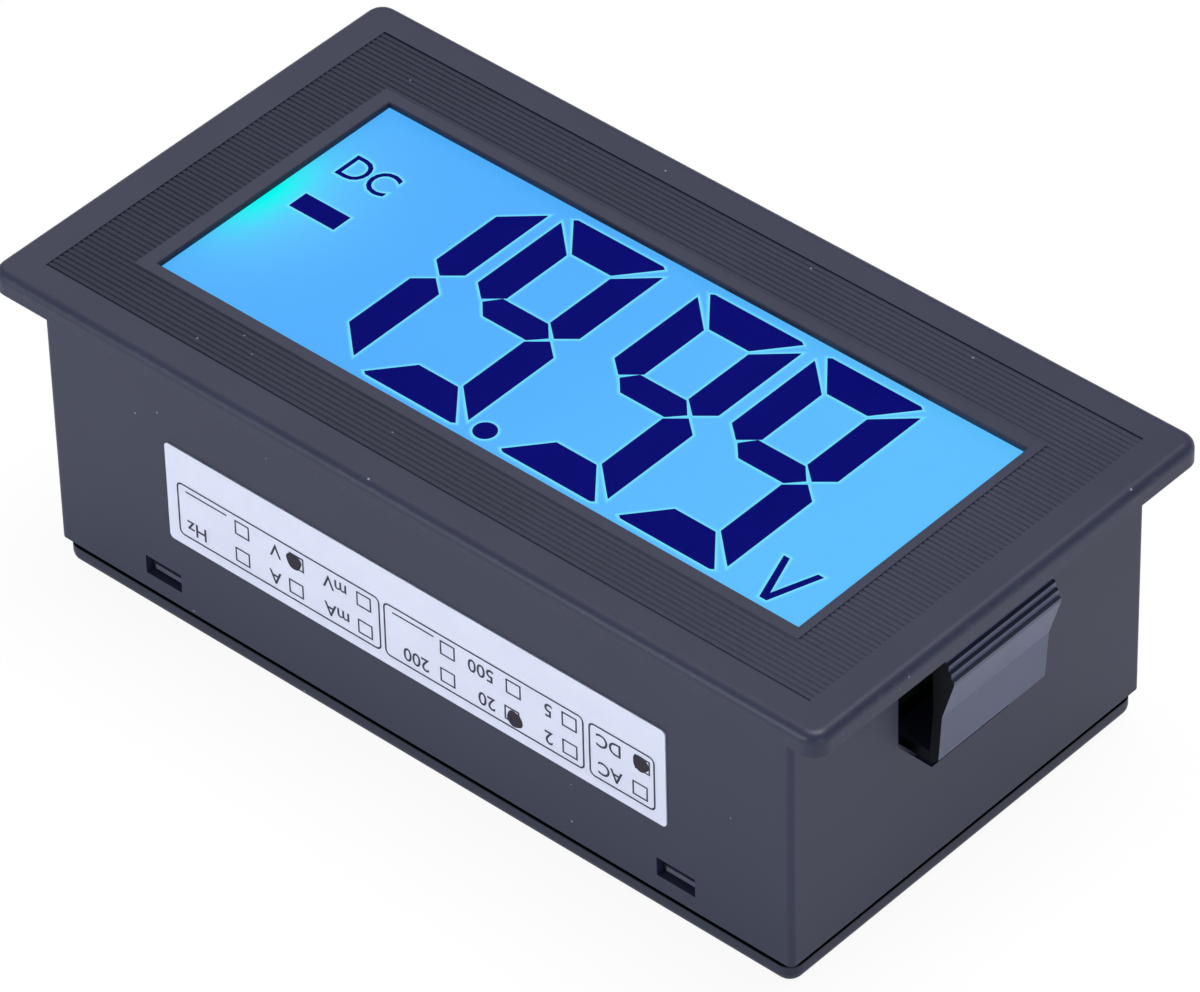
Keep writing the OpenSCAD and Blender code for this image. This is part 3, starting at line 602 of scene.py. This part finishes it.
def draw_print(shape):
    for left, right in frames:
        ring(shape, rounded((left * mm, frame_z[0] * mm), (right * mm, frame_z[1] * mm),
                            frame_corner), -frame_line / 2, frame_line / 2, 0)
    for height, ticks in ((upper_z, upper_ticks), (lower_z, lower_ticks)):
        for middle in ticks:
            low = (middle * mm - tick_size[0] / 2, height * mm - tick_size[1] / 2)
            high = (middle * mm + tick_size[0] / 2, height * mm + tick_size[1] / 2)
            ring(shape, rounded(low, high, 0), -print_line / 2, print_line / 2, 0)
    for left, right in rules:
        low, high = rule_z * mm - print_line / 2, rule_z * mm + print_line / 2
        shape.faces.new([shape.verts.new((x * mm, z, 0)) for x, z in
                         ((left, low), (right, low), (right, high), (left, high))])
    for height, words in ((upper_z, upper_words), (lower_z, lower_words)):
        for word, middle in words:
            mesh = lettering(word, 0.008)
            tall = max(v.co.y for v in mesh.vertices) - min(v.co.y for v in mesh.vertices)
            scale = text_high / tall
            mesh.transform(Matrix.Translation((middle * mm, height * mm, 0))
                           @ Matrix.Diagonal((-scale, -scale, 1, 1)))
            shape.from_mesh(mesh)
    upright(shape)


printed = mesh_object("label_print", draw_print)
print_ink, wire = open_material("print_ink")
faded = clouds(wire, 0.35 * mm, 3)
shade(wire, {"Base Color": faded.blend(srgb(34, 34, 48), srgb(74, 74, 92)), "Roughness": 0.6,
             "Specular IOR Level": 0.2})
printed.data.materials.clear()
printed.data.materials.append(print_ink)
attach(printed, "meter")


def draw_dots(shape):
    for number, (x, z) in enumerate(dots):
        edge = []
        for step in range(dot_corners):
            turn = 2 * math.pi * step / dot_corners
            reach = (dot_radius + 0.035 * math.sin(3 * turn + number)
                     + 0.02 * math.sin(5 * turn + 2 * number))
            edge.append(shape.verts.new((x * mm + reach * mm * math.cos(turn),
                                         z * mm + reach * mm * math.sin(turn), 0)))
        shape.faces.new(edge)
    upright(shape)
    for v in shape.verts:
        v.co.y -= 0.01 * mm


dotted = mesh_object("marker_dots", draw_dots)
marker_ink, wire = open_material("marker_ink")
shade(wire, {"Base Color": clouds(wire, 0.5 * mm, 3).blend(srgb(18, 14, 26), srgb(48, 44, 56)),
             "Roughness": 0.5, "Specular IOR Level": 0.2})
dotted.data.materials.append(marker_ink)
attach(dotted, "meter")

# ---- Backlight ----
# Behind the cell a milky sheet and a clear acrylic slab lie in a white tray. A small lamp on its
# own board shines into the slab's end.

# The milky sheet and the slab glow with the lamp's light, painted on as emission.
diffuser_film, wire = open_material("diffuser_film")
milk = clouds(wire, 6 * mm)
shade(wire, {"Base Color": milk.blend(srgb(205, 222, 238), srgb(228, 238, 248)), "Roughness": 0.5,
             "Emission Color": cell_blue, "Emission Strength": 0.3})
dress(diffuser_film, "diffuser_sheet")
guide_acrylic, wire = open_material("guide_acrylic")
etched = wire.node("ShaderNodeTexVoronoi", {}, {"Vector": place_on(wire), "Scale": 1 / (1.2 * mm)})
shade(wire, {"Base Color": (etched < 0.3).blend(srgb(150, 200, 235), srgb(215, 235, 250)),
             "Roughness": 0.12, "Emission Color": cell_blue, "Emission Strength": 0.3})
dress(guide_acrylic, "light_guide")
white_plastic, wire = open_material("white_plastic")
shade(wire, {"Base Color": clouds(wire, 5 * mm).blend(srgb(218, 220, 222), srgb(235, 236, 236)),
             "Roughness": 0.45, "Normal": clouds(wire, grain_size, 3).bump(0.01 * mm, 0.2)})
dress(white_plastic, "backlight_tray")
lamp_body, wire = open_material("lamp_body")
dome = clouds(wire, 1.5 * mm)
shade(wire, {"Base Color": dome.blend(srgb(200, 240, 245), srgb(230, 250, 250)), "Roughness": 0.2,
             "Emission Color": cell_hot, "Emission Strength": 0.6})
dress(lamp_body, "backlight_led")

# ---- Boards, pins and parts ----
# The main board is green glass laminate with tinned pads. The parts on it have their own usual
# finishes: moulded epoxy, lacquer, printed sleeves and tinned wire.

board_laminate, wire = open_material("board_laminate")
weave = wire.node("ShaderNodeTexWave", {"bands_direction": "X"}, {
    "Vector": place_on(wire), "Scale": 1 / (2.4 * mm), "Distortion": 6, "Detail": 1})
track = (clouds(wire, 2.2 * mm, 0) > 0.55) * 0.6
shade(wire, {"Base Color": (track + weave * 0.2).blend(srgb(14, 58, 34), srgb(32, 92, 54)),
             "Roughness": weave * 0.1 + 0.3, "Normal": weave.bump(0.01 * mm, 0.3)})
dress(board_laminate, "main_board", "led_board")

tinned_metal, wire = open_material("tinned_metal")
dull = clouds(wire, 0.6 * mm, 4)
shade(wire, {"Base Color": dull.blend(srgb(168, 170, 172), srgb(205, 206, 204)), "Metallic": 1.0,
             "Roughness": dull * 0.25 + 0.2})
dress(tinned_metal, "lcd_pins_upper", "lcd_pins_lower")
dress(moulded("chip_epoxy", srgb(36, 36, 38), srgb(28, 28, 30), srgb(60, 60, 62), gloss=0.55),
      "converter_chip", "voltage_regulator")


def coated(name, low, high, rough, size=1.0):
    """A lacquer or sleeve with a mottled colour."""
    material, wire = open_material(name)
    spots = clouds(wire, size * mm, 3)
    shade(wire, {"Base Color": spots.blend(srgb(*low), srgb(*high)),
                 "Roughness": spots * 0.1 + rough, "Normal": spots.bump(0.01 * mm, 0.25)})
    return material


dress(coated("capacitor_red", (150, 42, 24), (186, 62, 36), 0.3),
      "film_capacitor_1", "film_capacitor_2", "film_capacitor_3")
dress(coated("capacitor_sleeve", (26, 34, 84), (40, 50, 110), 0.35), "can_capacitor_1",
      "can_capacitor_2")
dress(coated("resistor_lacquer", (96, 150, 172), (128, 178, 196), 0.35), "resistors")

# ---- Trimmer ----
# A blue multi-turn trimmer sets the reading through a hole in the cover. Its screw is turned
# from brass.

dress(coated("trimmer_plastic", (28, 70, 150), (44, 92, 180), 0.35, 2.0), "trimmer_body")
trimmer_brass, wire = open_material("trimmer_brass")
turned = clouds(wire, 0.4 * mm, 4)
shade(wire, {"Base Color": turned.blend(srgb(176, 136, 62), srgb(222, 186, 104)), "Metallic": 1.0,
             "Roughness": turned * 0.2 + 0.22})
dress(trimmer_brass, "trimmer_screw")

# ---- Terminals ----
# Four wells in a black block each hold a plated contact plate and a steel screw with a square
# washer. The screws' heads are brushed by turning.

dress(moulded("terminal_plastic", srgb(40, 40, 43), srgb(32, 32, 35), srgb(66, 66, 70), gloss=0.5),
      "terminal_block")
numbers = (1, 2, 3, 4)
plated_metal, wire = open_material("plated_metal")
bath = clouds(wire, 1.4 * mm, 4)
shade(wire, {"Base Color": bath.blend(srgb(184, 180, 170), srgb(216, 213, 204)), "Metallic": 1.0,
             "Roughness": bath * 0.2 + 0.24, "Normal": bath.bump(0.006 * mm, 0.3)})
dress(plated_metal, *(f"terminal_plate_{i}" for i in numbers))
for i in numbers:
    low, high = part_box(f"terminal_screw_{i}")
    middle = ((low[0] + high[0]) / 2, (low[1] + high[1]) / 2, 0)
    screw_steel, wire = open_material(f"screw_steel_{i}")
    turned = wire.node("ShaderNodeTexWave", {"wave_type": "RINGS", "rings_direction": "Z"}, {
        "Vector": wire.node("ShaderNodeMapping", {}, {
            "Vector": place_on(wire), "Location": tuple(-v for v in middle)}),
        "Scale": 1 / (0.9 * mm), "Distortion": 1.5, "Detail": 3})
    spots = clouds(wire, 0.7 * mm, 3)
    shade(wire, {"Base Color": spots.blend(srgb(176, 178, 182), srgb(214, 214, 212)),
                 "Metallic": 1.0, "Roughness": turned * 0.14 + spots * 0.12 + 0.18,
                 "Normal": turned.bump(0.008 * mm, 0.35)})
    dress(screw_steel, f"terminal_screw_{i}")
